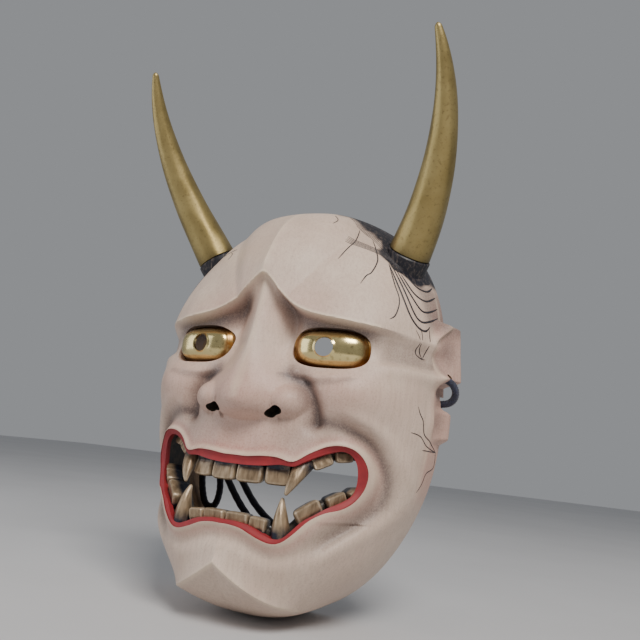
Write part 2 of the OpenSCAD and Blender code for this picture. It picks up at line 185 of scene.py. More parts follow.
def relief(x, z):
    """How far the carving stands forward of the plain egg."""
    above = z - brow_line(x)
    ledge = (5 + 1.5 * band(x, 14, 46, 5)) * (1 - smooth(52, 70, x))
    r = ledge * np.where(above > 0, np.exp(-np.maximum(above, 0) / 26), np.exp(np.minimum(above, 0) / 1.6))
    under = smooth(0, 3, -above)
    r = r - under * (5 * hill(x, z, 33, 6, 19, 8) + 8 * hill(x, z, 12, 16, 4.8, 9))
    # keel of the forehead
    r = r + 3.4 * np.exp(-x / 7) * smooth(34, 46, z) * (1 - smooth(66, 86, z))
    r = r + 1.5 * hill(x, z, 30, 46, 18, 14)
    # cheek bone, muzzle, bag under the eye
    r = r + 3.5 * hill(x, z, 0, -58, 26, 22) + 7.5 * hill(x, z, 50, -15, 12.5, 9.5)
    d, u, _ = path_dist(x, z, EYE_BAG)
    r = r + 1.1 * np.exp(-(d / 1.5) ** 2) * band(u, 0.1, 0.8, 0.1)
    d, u, _ = path_dist(x, z, NOSE_GROOVE)
    r = r - 5.5 * np.exp(-(d / 3.6) ** 2) * smooth(0, 0.3, u)
    # chin boss under an upturned V
    below = chin_line(x) - z
    r = r + (6.8 + 0.1 * x) * (1 - smooth(24, 44, x)) * np.where(
        below > 0, np.exp(-np.maximum(below, 0) / 17), np.exp(np.minimum(below, 0) / 7.5))
    # grooves of the upper lip, and the raised edge of skin round the lips
    r = r + 1.0 * hill(x, z, 11, -39, 2.6, 5) - 0.6 * hill(x, z, 0, -39, 6, 5)
    d, u, s = path_dist(x, z, LIP)
    return r + 1.2 * np.exp(-(d / 1.5) ** 2) - 1.2 * np.exp(-((d - 6) / 3) ** 2) * (s > 0) * (z < -70)


def folds(x, z):
    """Carving that stands square to the side of the face: temple, cheek bone and the fold round the mouth."""
    r = -2.6 * smooth(-1, 2.5, z) * (1 - smooth(9, 15, z)) * smooth(53, 62, x)
    r = r + 1.3 * np.exp(-((z + 2) / 3.5) ** 2) * smooth(50, 60, x)
    d, u, s = path_dist(x, z, CHEEK_GROOVE)
    along = smooth(0, 0.22, u) * (1 - smooth(0.78, 1, u))
    r = r + along * (-4.6 * np.exp(-(d / 3.4) ** 2) + 1.7 * np.exp(-((d - 6.2) / 3) ** 2) * (s > 0)
                     + 1.0 * np.exp(-((d - 5.5) / 2.6) ** 2) * (s < 0))
    return r


def nose(x, z):
    ridge = np.interp(z, RIDGE_Z, RIDGE_Y)
    r = 2.2 + 6.8 * smooth(6, -18, z)
    slope = 1.1 - 0.2 * smooth(10, -15, z)
    roof = ridge - slope * (np.sqrt(x * x + r * r) - r)
    q = 1 - ((x - 18.5) / 10.5) ** 2 - ((z + 21) / 8.5) ** 2
    wing = np.where(q > 0, 54 + 13 * np.sqrt(np.maximum(q, 0)), 54 + 20 * np.minimum(q, 0))
    return soft_max(roof, wing, 2.2)


def ear(y, z):
    """How far the ear stands out of the side, at depth y and height z."""
    rim_y = -20 + 11 * smooth(14, 28, z)
    return (smooth(-21, -2, y) * 8.4 * band(z, -2, 27.5, 2) + smooth(-16, -3, y) * 4.0 * band(z, -30, -15, 2)
            + 2.4 * np.exp(-((y - rim_y) / 1.9) ** 2) * band(z, 3, 27, 3)
            - 3.2 * hill(y, z, -8.5, 13, 4.5, 8) + 3.8 * hill(y, z, -15, 0.5, 3.6, 3.4)
            + 1.6 * hill(y, z, -17, -22, 2.2, 5) - 1.5 * hill(y, z, -10, -22, 3, 5)
            - 2.0 * hill(y, z, -8, -5, 3.5, 4))


def face_points(s, t, inset=0.0):
    px, py, z = egg(s, t, HALF_W, TOP, CHIN, DEPTH)
    x = np.abs(px)
    side = folds(x, z) * smooth(4, 18, -py)
    turn = smooth(46, 72, x)
    depth = -py + smooth(6, 30, -py) * relief(x, z) + side * (1 - turn)
    fore = np.where((x < 36) & (z > -42) & (z < 48), soft_max(depth, nose(x, z), 2.2), depth)
    out = np.where(x > 50, ear(py, z), 0) + side * turn
    edge = 0.8 * smooth(-1.2, 0, py)
    grow = 1 - edge / 80
    return np.where(px < 0, -1, 1) * (x + out) * grow, -(fore - inset * smooth(0, 10, fore)), z * grow


def hollow_points(s, t):
    px, py, z = egg(s, t, HALF_W - WALL, TOP - WALL - 3, CHIN - WALL - 1, DEPTH - 16)
    x = np.abs(px)
    fade = smooth(0, 25, -py)
    across = np.abs(np.sin(px * 0.42 + 1.3 * np.sin(z * 0.09)))
    gouge = 0.35 * across * np.abs(np.sin(z * 0.23 + np.sin(px * 0.11)))
    deeper = 11 * hill(x, z, 0, -16, 12, 16) + 4 * hill(x, z, 0, -60, 34, 26)
    return px, py - fade * deeper + fade * gouge, z


# ---------------------------------------------------------------- mesh helpers
def new_mesh(name, points, faces, slots=()):
    """An object from points in millimetres."""
    mesh = bpy.data.meshes.new(name)
    mesh.from_pydata((np.asarray(points, float) * MM).tolist(), [], [list(map(int, f)) for f in faces])
    obj = bpy.data.objects.new(name, mesh)
    bpy.context.scene.collection.objects.link(obj)
    for m in slots:
        mesh.materials.append(m)
    return obj


def grid_faces(nu, nv):
    i, j = np.meshgrid(np.arange(nu), np.arange(nv))
    a = (j * (nu + 1) + i).ravel()
    return np.stack([a, a + 1, a + nu + 2, a + nu + 1], 1).tolist()


def ring_faces(sides, rings):
    """Quads that join each ring of points to the next one."""
    faces = []
    for i in range(rings - 1):
        near, far = i * sides, (i + 1) * sides
        for k in range(sides):
            after = (k + 1) % sides
            faces.append((near + k, near + after, far + after, far + k))
    return faces


def dome(name, fn, nu, nv, slots, shift=0.0):
    """A closed solid from a grid of points whose edge lies in one plane of constant y."""
    s, t = np.meshgrid(np.linspace(-1, 1, nu + 1), np.linspace(-1, 1, nv + 1))
    x, y, z = fn(s, t)
    pts = np.stack([x, y + shift, z], -1).reshape(-1, 3)
    edge = ([i for i in range(nu)] + [j * (nu + 1) + nu for j in range(nv)]
            + [nv * (nu + 1) + i for i in range(nu, 0, -1)] + [j * (nu + 1) for j in range(nv, 0, -1)])
    pts[edge, 1] = shift
    return new_mesh(name, pts, grid_faces(nu, nv) + [edge[::-1]], slots)


def combine(target, tool, op):
    """Boolean of two closed solids. The tool is used up."""
    mod = target.modifiers.new("bool", "BOOLEAN")
    mod.operation = op
    mod.solver = "MANIFOLD"
    mod.object = tool
    mod.material_mode = "TRANSFER"
    graph = bpy.context.evaluated_depsgraph_get()
    mesh = bpy.data.meshes.new_from_object(target.evaluated_get(graph))
    target.modifiers.clear()
    target.data = mesh
    bpy.data.objects.remove(tool)
    return target


def prism(name, loop, y0, y1, slots):
    """A straight prism along Y over a closed loop of (x, z) points."""
    n = len(loop)
    pts = [(p[0], y0, p[1]) for p in loop] + [(p[0], y1, p[1]) for p in loop]
    faces = [(k, (k + 1) % n, n + (k + 1) % n, n + k) for k in range(n)]
    faces += [list(range(n))[::-1], list(range(n, 2 * n))]
    return fix_normals(new_mesh(name, pts, faces, slots))


def fix_normals(obj):
    bm = bmesh.new()
    bm.from_mesh(obj.data)
    bmesh.ops.recalc_face_normals(bm, faces=bm.faces)
    bm.to_mesh(obj.data)
    bm.free()
    return obj


def shade(obj, sharp_deg=None):
    """Smooth shading, with edges over an angle kept sharp."""
    for p in obj.data.polygons:
        p.use_smooth = True
    if sharp_deg is not None:
        obj.data.set_sharp_from_angle(angle=math.radians(sharp_deg))
    return obj


def grown(loop, by):
    """A closed loop of points moved outward by a distance."""
    step = np.roll(loop, -1, axis=0) - np.roll(loop, 1, axis=0)
    out = np.stack([-step[:, 1], step[:, 0]], 1) / np.linalg.norm(step, axis=1)[:, None]
    area = np.sum(loop[:, 0] * np.roll(loop[:, 1], -1) - loop[:, 1] * np.roll(loop[:, 0], -1))
    return loop + out * by * (-1 if area > 0 else 1)


def both(loop):
    """A right half, from top to bottom, closed with its mirror image."""
    return np.vstack([loop, (loop * [-1, 1])[-2:0:-1]])


def sweep(points, radii, sides, ripple=None):
    """Points and faces of a round section swept along a path."""
    p = np.asarray(points, float)
    tan = np.gradient(p, axis=0)
    tan /= np.linalg.norm(tan, axis=1)[:, None]
    normal = np.cross(tan[0], (0.31, 0.95, 0.05))
    rings = []
    for i in range(len(p)):
        normal = normal - (normal @ tan[i]) * tan[i]
        normal /= np.linalg.norm(normal)
        side = np.cross(tan[i], normal)
        a = np.linspace(0, 2 * np.pi, sides, endpoint=False)
        r = radii[i] * (1 + (ripple(i, a) if ripple else 0 * a))
        rings.append(p[i] + r[:, None] * (np.cos(a)[:, None] * normal + np.sin(a)[:, None] * side))
    pts = np.vstack(rings)
    last = (len(p) - 1) * sides
    faces = ring_faces(sides, len(p)) + [list(range(sides))[::-1], list(range(last, last + sides))]
    return pts, faces


# ---------------------------------------------------------------- materials
class Nodes:
    """Short way to write a node tree."""

    def __init__(self, name):
        self.material = bpy.data.materials.new(name)
        self.material.use_nodes = True
        self.tree = self.material.node_tree
        self.shader = self.tree.nodes["Principled BSDF"]
        coords = self.tree.nodes.new("ShaderNodeTexCoord")
        self.object = coords.outputs["Object"]

    def put(self, socket, value):
        if hasattr(value, "is_output"):
            self.tree.links.new(value, socket)
        elif value is not None:
            socket.default_value = value

    def noise(self, scale, detail=4.0, rough=0.55, vector=None, distortion=0.0):
        n = self.tree.nodes.new("ShaderNodeTexNoise")
        self.put(n.inputs["Vector"], vector or self.object)
        n.inputs["Scale"].default_value = scale
        n.inputs["Detail"].default_value = detail
        n.inputs["Roughness"].default_value = rough
        n.inputs["Distortion"].default_value = distortion
        return n.outputs["Fac"]

    def stretch(self, scale):
        n = self.tree.nodes.new("ShaderNodeMapping")
        self.put(n.inputs["Vector"], self.object)
        n.inputs["Scale"].default_value = scale
        return n.outputs["Vector"]

    def math(self, op, a, b=0.0, c=0.0, clamp=False):
        n = self.tree.nodes.new("ShaderNodeMath")
        n.operation = op
        n.use_clamp = clamp
        self.put(n.inputs[0], a)
        self.put(n.inputs[1], b)
        self.put(n.inputs[2], c)
        return n.outputs[0]

    def span(self, value, low, high, to_low=0.0, to_high=1.0):
        n = self.tree.nodes.new("ShaderNodeMapRange")
        self.put(n.inputs["Value"], value)
        for k, v in (("From Min", low), ("From Max", high), ("To Min", to_low), ("To Max", to_high)):
            n.inputs[k].default_value = v
        return n.outputs["Result"]

    def mix(self, fac, a, b, blend="MIX"):
        n = self.tree.nodes.new("ShaderNodeMix")
        n.data_type = "RGBA"
        n.blend_type = blend
        self.put(n.inputs["Factor"], fac)
        self.put(n.inputs[6], (*a, 1) if isinstance(a, tuple) else a)
        self.put(n.inputs[7], (*b, 1) if isinstance(b, tuple) else b)
        return n.outputs[2]

    def attribute(self, name):
        n = self.tree.nodes.new("ShaderNodeAttribute")
        n.attribute_name = name
        s = self.tree.nodes.new("ShaderNodeSeparateColor")
        self.tree.links.new(n.outputs["Color"], s.inputs[0])
        return [*s.outputs, n.outputs["Alpha"]]

    def bump(self, height, strength, distance, normal=None):
        n = self.tree.nodes.new("ShaderNodeBump")
        self.put(n.inputs["Height"], height)
        n.inputs["Strength"].default_value = strength
        n.inputs["Distance"].default_value = distance
        self.put(n.inputs["Normal"], normal)
        return n.outputs["Normal"]

    def finish(self, colour, rough, normal=None, metallic=0.0, **sockets):
        self.put(self.shader.inputs["Base Color"], (*colour, 1) if isinstance(colour, tuple) else colour)
        self.put(self.shader.inputs["Roughness"], rough)
        self.put(self.shader.inputs["Metallic"], metallic)
        self.put(self.shader.inputs["Normal"], normal)
        for k, v in sockets.items():
            self.shader.inputs[k.replace("_", " ")].default_value = v
        return self.material


def skin_material():
    m = Nodes("painted_skin")
    pink, painted_shade, black, ridge_highlight = m.attribute("tone")
    pores = m.noise(2600, 2, 0.6)
    speck = m.noise(1300, 3, 0.75)
    patch = m.noise(40, 4, 0.6)
    streak = m.noise(75, 4, 0.65, m.stretch((10, 10, 0.8)))
    c = m.mix(m.span(patch, 0.35, 0.7), (0.60, 0.455, 0.365), (0.68, 0.54, 0.44))
    c = m.mix(m.span(streak, 0.42, 0.68, 0, 0.5), c, (0.50, 0.37, 0.29))
    c = m.mix(m.math("MULTIPLY", pink, m.span(speck, 0.3, 0.7, 0.6, 1.2), clamp=True), c, (0.50, 0.24, 0.195))
    # Painted shade: the creases, grooves and hollows are darkened in the paint.
    c = m.mix(m.math("MULTIPLY", painted_shade, m.span(speck, 0.3, 0.7, 0.65, 1.25), clamp=True),
              c, (0.085, 0.062, 0.062))
    c = m.mix(m.span(speck, 0.54, 0.70, 0, 0.42), c, (0.30, 0.20, 0.165))
    # Painted highlight: ridges and edges are lightened in the paint.
    c = m.mix(m.math("MULTIPLY", ridge_highlight, m.span(patch, 0.3, 0.6, 0.4, 1.0), clamp=True), c, (0.80, 0.66, 0.50))
    c = m.mix(m.math("MULTIPLY", black, m.span(streak, 0.3, 0.6, 0.8, 1.1), clamp=True),
              c, (0.008, 0.008, 0.014))
    normal = m.bump(pores, 0.3, 0.0002)
    normal = m.bump(patch, 0.2, 0.0006, normal)
    return m.finish(c, m.span(patch, 0.3, 0.7, 0.40, 0.54), normal, Specular_IOR_Level=0.4)


def lip_material():
    m = Nodes("lip_red")
    n = m.noise(300, 4, 0.6)
    c = m.mix(m.span(n, 0.35, 0.7), (0.30, 0.018, 0.022), (0.24, 0.014, 0.02))
    return m.finish(c, 0.6, m.bump(m.noise(900, 3), 0.2, 0.0002))


def gum_material():
    m = Nodes("gum_dark")
    n = m.noise(260, 4, 0.6)
    c = m.mix(m.span(n, 0.4, 0.65), (0.012, 0.011, 0.013), (0.07, 0.05, 0.03))
    return m.finish(c, 0.5, m.bump(n, 0.3, 0.0004))


def wood_material():
    m = Nodes("bare_wood")
    grain = m.noise(90, 5, 0.65, m.stretch((9, 9, 0.7)), 0.6)
    c = m.mix(m.span(grain, 0.3, 0.72), (0.20, 0.11, 0.055), (0.42, 0.27, 0.14))
    c = m.mix(m.span(m.noise(25, 3), 0.45, 0.7, 0, 0.5), c, (0.12, 0.06, 0.035))
    return m.finish(c, 0.65, m.bump(grain, 0.35, 0.0005))


def eye_material():
    m = Nodes("gilt_eye")
    edge = m.attribute("tone")
    n = m.noise(160, 5, 0.6)
    tarnish = m.math("MULTIPLY", edge[0], m.span(n, 0.3, 0.65, 0.55, 1.2), clamp=True)
    c = m.mix(tarnish, (0.74, 0.60, 0.28), (0.26, 0.11, 0.025))
    c = m.mix(m.span(m.noise(420, 4), 0.56, 0.72, 0, 0.5), c, (0.10, 0.07, 0.02))
    rough = m.math("ADD", m.span(n, 0.35, 0.7, 0.14, 0.26), m.math("MULTIPLY", tarnish, 0.2))
    return m.finish(c, rough, m.bump(m.noise(500, 3), 0.12, 0.0003), 1.0)


def tooth_material():
    m = Nodes("aged_tooth")
    tone = m.attribute("tone")
    n = m.noise(240, 5, 0.65)
    line = m.noise(420, 4, 0.6, m.stretch((1, 1, 0.16)))
    c = m.mix(m.span(line, 0.35, 0.68), (0.17, 0.115, 0.065), (0.40, 0.29, 0.18))
    # The dark blue-black root, also painted shade over the plates' sides and backs.
    c = m.mix(m.math("MULTIPLY", tone[0], m.span(n, 0.3, 0.65, 0.5, 1.3), clamp=True),
              c, (0.016, 0.020, 0.034))
    # Lighter gold: a painted highlight on the plates' ends and biting edges, and the fangs' own lighter tips.
    c = m.mix(m.math("MULTIPLY", tone[1], m.span(n, 0.4, 0.7, 0.3, 1.2), clamp=True), c, (0.60, 0.48, 0.34))
    normal = m.bump(line, 0.35, 0.0005)
    return m.finish(c, m.span(n, 0.3, 0.7, 0.30, 0.48), normal, 0.4)


def horn_material():
    m = Nodes("gilt_horn")
    tone = m.attribute("tone")
    n = m.noise(60, 5, 0.62)
    fine = m.noise(700, 3, 0.6)
    c = m.mix(m.span(n, 0.35, 0.68), (0.30, 0.225, 0.085), (0.40, 0.31, 0.13))
    c = m.mix(m.span(fine, 0.55, 0.72, 0, 0.5), c, (0.13, 0.09, 0.035))
    c = m.mix(m.math("MULTIPLY", tone[0], m.span(n, 0.3, 0.7, 0.4, 1), clamp=True), c, (0.06, 0.045, 0.02))
    return m.finish(c, m.span(n, 0.3, 0.7, 0.34, 0.46), m.bump(fine, 0.15, 0.0003), 0.85)


def cord_material():
    m = Nodes("navy_cord")
    n = m.noise(1500, 3, 0.6)
    c = m.mix(m.span(n, 0.35, 0.7), (0.006, 0.007, 0.016), (0.03, 0.035, 0.075))
    return m.finish(c, 0.8, m.bump(n, 0.5, 0.0004), Sheen_Weight=0.4)


def ink_material():
    m = Nodes("hair_ink")
    n = m.noise(900, 3, 0.6)
    c = m.mix(m.span(n, 0.4, 0.75, 0, 0.6), (0.010, 0.010, 0.014), (0.10, 0.07, 0.07))
    return m.finish(c, 0.5)


def floor_material():
    m = Nodes("floor_paint")
    c = m.mix(m.span(m.noise(6, 3), 0.3, 0.7), (0.56, 0.56, 0.57), (0.60, 0.60, 0.61))
    return m.finish(c, 0.7, m.bump(m.noise(120, 3), 0.1, 0.001))


SKIN, LIP_RED, GUM, WOOD = skin_material(), lip_material(), gum_material(), wood_material()
EYE = eye_material()
TOOTH = tooth_material()
HORN = horn_material()
CORD = cord_material()
INK = ink_material()


def set_tone(obj, *amounts):
    """Stores up to four tint amounts per vertex."""
    values = np.zeros((len(obj.data.vertices), 4))
    for k, amount in enumerate(amounts):
        values[:, k] = np.clip(amount, 0, 1)
    attr = obj.data.color_attributes.new("tone", "FLOAT_COLOR", "POINT")
    attr.data.foreach_set("color", values.ravel())


def coords(obj):
    """Vertex places in millimetres."""
    out = np.empty(len(obj.data.vertices) * 3)
    obj.data.vertices.foreach_get("co", out)
    return out.reshape(-1, 3) / MM


# ---------------------------------------------------------------- cord and knot
CORD_ROUTE = [
    (-61.5, -6, -22), (-60.5, -6, -32), (-57.5, -6, -44), (-55, -6, -56), (-53, -6, -67),
    (-49.5, -6, -74.5), (-44, -6, -74.5), (-42, -6, -66), (-44.5, -6, -54), (-50, -6, -40),
    (-56, -6, -28), (-61, -5, -19), (-66, -3.4, -14), (-71, -2.9, -11.8), (-75.5, -2.9, -11.5),
    (-78.9, -3.4, -10.7), (-81.3, -4.7, -8.6), (-82.2, -6.4, -5.7), (-81.3, -8.2, -2.9), (-78.9, -9.5, -0.8),
    (-75.5, -10, 0), (-71, -10, 0), (-66, -10.5, -2), (-60.5, -11.5, -9), (-54, -12, -24),
    (-46, -11, -42), (-36, -9, -60), (-25, -8, -74), (-12, -8, -84), (4, -8, -88),
    (20, -8, -83), (34, -8, -69), (46, -10, -46), (55, -12, -24), (60.5, -11.5, -9),
    (66, -10.5, -2), (71, -10, 0), (75.5, -10, 0), (78.9, -9.5, -0.8), (81.3, -8.2, -2.9),
    (82.2, -6.4, -5.7), (81.3, -4.7, -8.6), (78.9, -3.4, -10.7), (75.5, -2.9, -11.5), (71, -2.9, -11.8),
    (66, -3, -14), (60, -3, -22), (50, -3, -38), (34, -3, -63), (16, -3, -79),
    (-2, -3, -82), (-20, -3, -72), (-36, -3, -53), (-50, -3, -34), (-58.5, -3.5, -24)]
CORD_D = 3.5
CORD_HOLE = (-10, 0, 2.3)               # depth, height and radius of the hole behind each ear
NOTCH = (-15, -8, -5.2)                 # low and high edge and depth of the notch in the rim
line = smooth_path(CORD_ROUTE, 20)
strands = lambda i, a: 0.07 * np.cos(3 * a + 0.55 * i) * np.cos(3 * a - 0.55 * i)
pts, faces = sweep(line, np.full(len(line), CORD_D / 2), 24,
                   ripple=strands)
cord = shade(new_mesh("wearing_cord_braid", pts, faces, [CORD]))
knot_pts, knot_faces = sweep(
    [(-61.8, -5, -16.5), (-61.5, -5, -17.5), (-61, -5, -20), (-60.4, -5, -23), (-60.2, -5, -25)],
    [1.5, 3.0, 3.3, 3.2, 1.6], 24, ripple=lambda i, a: 0.08 * np.cos(4 * a + 1.2 * i))
knot = shade(new_mesh("cord_knot_turns", knot_pts, knot_faces, [CORD]))
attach(cord, "mask")
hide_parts("wearing_cord")
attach(knot, "mask")
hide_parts("cord_knot")

# ---------------------------------------------------------------- carved shell
NU, NV = ((460, 600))
LIP_EDGE = 3.6      # depth of the red edge before the dark hollow of the mouth begins
shell = dome("carved_shell", face_points, NU, NV, [SKIN])
lips = dome("lips", lambda s, t: face_points(s, t, 0.5), NU, NV, [LIP_RED])
combine(lips, prism("lip_area", both(LIP), -110, -25, [LIP_RED]), "INTERSECT")
combine(shell, prism("lip_cut", both(LIP), -110, -25, [LIP_RED]), "DIFFERENCE")
combine(shell, lips, "UNION")
combine(shell, dome("hollow", hollow_points, NU // 2, NV // 2, [WOOD], 0.5), "DIFFERENCE")
combine(shell, prism("mouth_cut", both(GAPE), -110, -15, [LIP_RED]), "DIFFERENCE")
throat = prism("throat", grown(both(GAPE), 1.3), -110, -15, [GUM])
behind_lips = dome("behind_lips", lambda s, t: face_points(s, t, LIP_EDGE), NU // 2, NV // 2, [GUM])
combine(throat, behind_lips, "INTERSECT")
combine(shell, throat, "DIFFERENCE")


def upper_row(x):
    """Depth of the front of the upper teeth at a distance x from the middle."""
    return 62.8 - 0.0088 * x * x


def lower_row(x):
    return 67 - 0.0052 * x * x - 0.016 * np.maximum(0, np.abs(x) - 24) ** 2


def row_turn(row, x):
    """Turn of a tooth that faces squarely out of its row."""
    return np.arctan(row(x - 0.5) - row(x + 0.5))


def gum_bar(row, heights, high):
    """A carved ridge behind the lips that carries a row of teeth."""
    xs = np.linspace(-54, 54, 81)
    zz = np.interp(np.abs(xs), [0, 22, 29, 36, 44, 54], heights)
    a = np.linspace(0, 2 * np.pi, 16, endpoint=False)
    cy, cz = square_off(np.cos(a)) * 3.5 + 6.8, square_off(np.sin(a)) * high / 2
    pts = []
    for x, z in zip(xs, zz):
        turn = math.copysign(row_turn(row, abs(x)), x)
        pts += [(x - math.sin(turn) * u, -row(x) + math.cos(turn) * u, z + v) for u, v in zip(cy, cz)]
    last = len(pts) - 16
    faces = ring_faces(16, len(xs)) + [list(range(16)), list(range(last, last + 16))[::-1]]
    return fix_normals(new_mesh("gum", pts, faces, [GUM]))


keep = dome("inside_face", lambda s, t: face_points(s, t, 2.0), NU // 2, NV // 2, [GUM])
gums = gum_bar(upper_row, [-48.5, -47.5, -45.5, -41.5, -39.5, -39], 8)
combine(gums, gum_bar(lower_row, [-77.5, -79, -76, -68.5, -63.5, -59], 8), "UNION")
combine(gums, keep, "INTERSECT")
combine(shell, gums, "UNION")

# ---------------------------------------------------------------- eyes
EYE_X, EYE_Z, EYE_A, EYE_B, EYE_TURN = 34.0, 5.0, 17.8, 9.3, math.radians(12)
EYE_SQUARE = 2.9        # power of the eye's rounded outline
PUPIL_R = 4.3


def eye_place(p, side):
    """From an eye plate's own frame to the mask's."""
    p = np.asarray(p, float)
    c, s = math.cos(EYE_TURN), math.sin(EYE_TURN)
    out = np.stack([EYE_X + c * p[:, 0] - s * p[:, 1], -50 + s * p[:, 0] + c * p[:, 1], EYE_Z + p[:, 2]], 1)
    out[:, 0] *= side
    return out


def eye_outline(n, grow=0.0):
    a = np.linspace(0, 2 * np.pi, n, endpoint=False)
    c, s, e = np.cos(a), np.sin(a), 2 / EYE_SQUARE
    return np.stack([np.sign(c) * np.abs(c) ** e * (EYE_A + grow),
                     np.sign(s) * np.abs(s) ** e * (EYE_B + grow)], 1)


for side in (-1, 1):
    for grow, y0, y1 in ((0.25, -22, 2.5), (-1.2, -22, 32)):
        loop = eye_outline(96, grow)
        n = len(loop)
        p = eye_place([(a, y0, b) for a, b in loop] + [(a, y1, b) for a, b in loop], side)
        f = ring_faces(n, 2) + [list(range(n)), list(range(n, 2 * n))]
        combine(shell, fix_normals(new_mesh("eye_cut", p, f, [SKIN])), "DIFFERENCE")


def eye_plate(name, node, side):
    """A thin gilt dome with a flat tarnished border and a pierced pupil."""
    sides, rings = ((144, 48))
    a = np.linspace(0, 2 * np.pi, sides, endpoint=False)
    outer = eye_outline(sides)
    hole = np.stack([-2.5 + PUPIL_R * np.cos(a), PUPIL_R * np.sin(a)], 1)
    front, back = [], []
    for k in range(rings + 1):
        t = k / rings
        xy = hole + (outer - hole) * t
        rho = np.clip((np.abs(xy[:, 0] / EYE_A) ** EYE_SQUARE + np.abs(xy[:, 1] / EYE_B) ** EYE_SQUARE)
                      ** (1 / EYE_SQUARE), 0, 1)
        y = -1.2 + 2.0 * smooth(0.86, 1, rho) - 5.4 * (1 - np.clip(rho / 0.88, 0, 1) ** 2.6) ** 0.62
        y = y - 0.45 * math.exp(-(t * rings / 2.0) ** 2)
        front.append(np.stack([xy[:, 0], y, xy[:, 1]], 1))
        back.append(np.stack([xy[:, 0], y + 1.3, xy[:, 1]], 1))
    rows = front + back[::-1]
    pts = np.vstack(rows)
    m = len(rows)
    faces = [(i * sides + k, i * sides + (k + 1) % sides, ((i + 1) % m) * sides + (k + 1) % sides,
              ((i + 1) % m) * sides + k) for i in range(m) for k in range(sides)]
    obj = fix_normals(new_mesh(name, eye_place(pts, side), faces, [EYE]))
    shade(obj, 40)
    rho = (np.abs(pts[:, 0] / EYE_A) ** EYE_SQUARE
           + np.abs(pts[:, 2] / EYE_B) ** EYE_SQUARE) ** (1 / EYE_SQUARE)
    set_tone(obj, smooth(0.74, 0.92, rho))
    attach(obj, "mask")
    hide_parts(node)


eye_plate("eye_plate_left_dome", "eye_plate_left", 1)
eye_plate("eye_plate_right_dome", "eye_plate_right", -1)

# ---------------------------------------------------------------- teeth
# name, x, z, width, height, tilt in degrees
PLATES = [
    ("upper_incisor_inner", 6.6, -52.3, 12.6, 10.4, 0), ("upper_incisor_outer", 19.2, -51.9, 11.4, 10.6, 0),
    ("upper_molar_front", 35.6, -43.9, 9.6, 8.2, 26), ("upper_molar_back", 43.8, -40.9, 8.4, 7.4, 8),
    ("lower_incisor_inner", 5.7, -73.8, 11.0, 8.0, 0), ("lower_incisor_outer", 15.3, -74.6, 7.8, 8.0, -6),
    ("lower_molar_front", 35.6, -67.0, 12.4, 8.2, 34), ("lower_molar_middle", 44.6, -61.6, 9.4, 7.6, 25),
    ("lower_molar_back", 50.2, -58.2, 6.0, 6.6, 34)]
# name, root (x, z), tip (x, depth, z), radius of the root
FANGS = [("upper_fang", (28.7, -46.5), (25.4, 62.6, -60.6), 4.3),
         ("lower_fang", (24.6, -78.5), (23.4, 60.6, -61.8), 4.7)]


def tooth_plate(name, x, z, wide, high, tilt, side, number):
    """A crowned plate: dark root, a groove under it, ridged ends and a biting edge; painted shade darkens its
    sides and back, and its ends and biting edge get a painted highlight.
    """
    upper = name.startswith("upper")
    row = upper_row if upper else lower_row
    bite = -1 if upper else 1
    sides, caps = ((84, 18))
    a = np.linspace(0, 2 * np.pi, sides, endpoint=False)
    rho = np.concatenate([np.linspace(0.06, 1, caps), np.ones(5)])[:, None]
    back = np.concatenate([np.zeros(caps), [0.5, 1.5, 3.2, 5.6, 7.2]])[:, None]
    taper = np.concatenate([np.ones(caps + 1), [0.99, 0.95, 0.88, 0.82]])[:, None]
    u, v = rho * square_off(np.cos(a), 0.4), rho * square_off(np.sin(a), 0.4)
    e = v * bite
    crown = (0.6 * (1 - u ** 4) + 0.55 * smooth(-0.1, 0.9, e) - 0.45 * np.exp(-((e + 0.3) / 0.16) ** 2)
             + 0.25 * np.exp(-((np.abs(u) - 0.84) / 0.08) ** 2) * (e > -0.4)
             + 0.10 * np.sin(9 * u + number) * np.cos(3 * v + 2 * number))
    deep = back - crown * (1 - smooth(0, 1.2, back)) + 0.9 * smooth(0.86, 1, rho) ** 2
    p = np.stack([u * wide / 2 * taper, deep, v * high / 2 * taper], -1).reshape(-1, 3)
    n = len(rho)
    last = (n - 1) * sides
    faces = ring_faces(sides, n) + [list(range(sides)), list(range(last, last + sides))]
    c, s = math.cos(math.radians(tilt)), math.sin(math.radians(tilt))
    turn = row_turn(row, x)
    px, pz = c * p[:, 0] - s * p[:, 2], s * p[:, 0] + c * p[:, 2]
    out = np.stack([x + math.cos(turn) * px - math.sin(turn) * p[:, 1],
                    -row(x) + math.sin(turn) * px + math.cos(turn) * p[:, 1], z + pz], 1)
    label = "%s_%s_carved" % (name, "left" if side > 0 else "right")
    obj = fix_normals(new_mesh(label, mirrored(out, side), faces, [TOOTH]))
    shade(obj, 50)
    flat = lambda f: np.broadcast_to(f, u.shape).ravel()
    # Dark root colour, also carried over the plate's sides and back as painted shade.
    root = flat(np.maximum(smooth(0.1, -0.45, e), smooth(0.8, 2.5, back)))
    # Painted highlight on the ridged ends and along the biting edge.
    side_highlight = 0.8 * np.exp(-((np.abs(u) - 0.86) / 0.09) ** 2) * (e > -0.35)
    tip_highlight = 0.55 * np.exp(-((e - 0.86) / 0.1) ** 2)
    light = flat((side_highlight + tip_highlight) * (back < 0.6))
    set_tone(obj, root, light)
    return obj


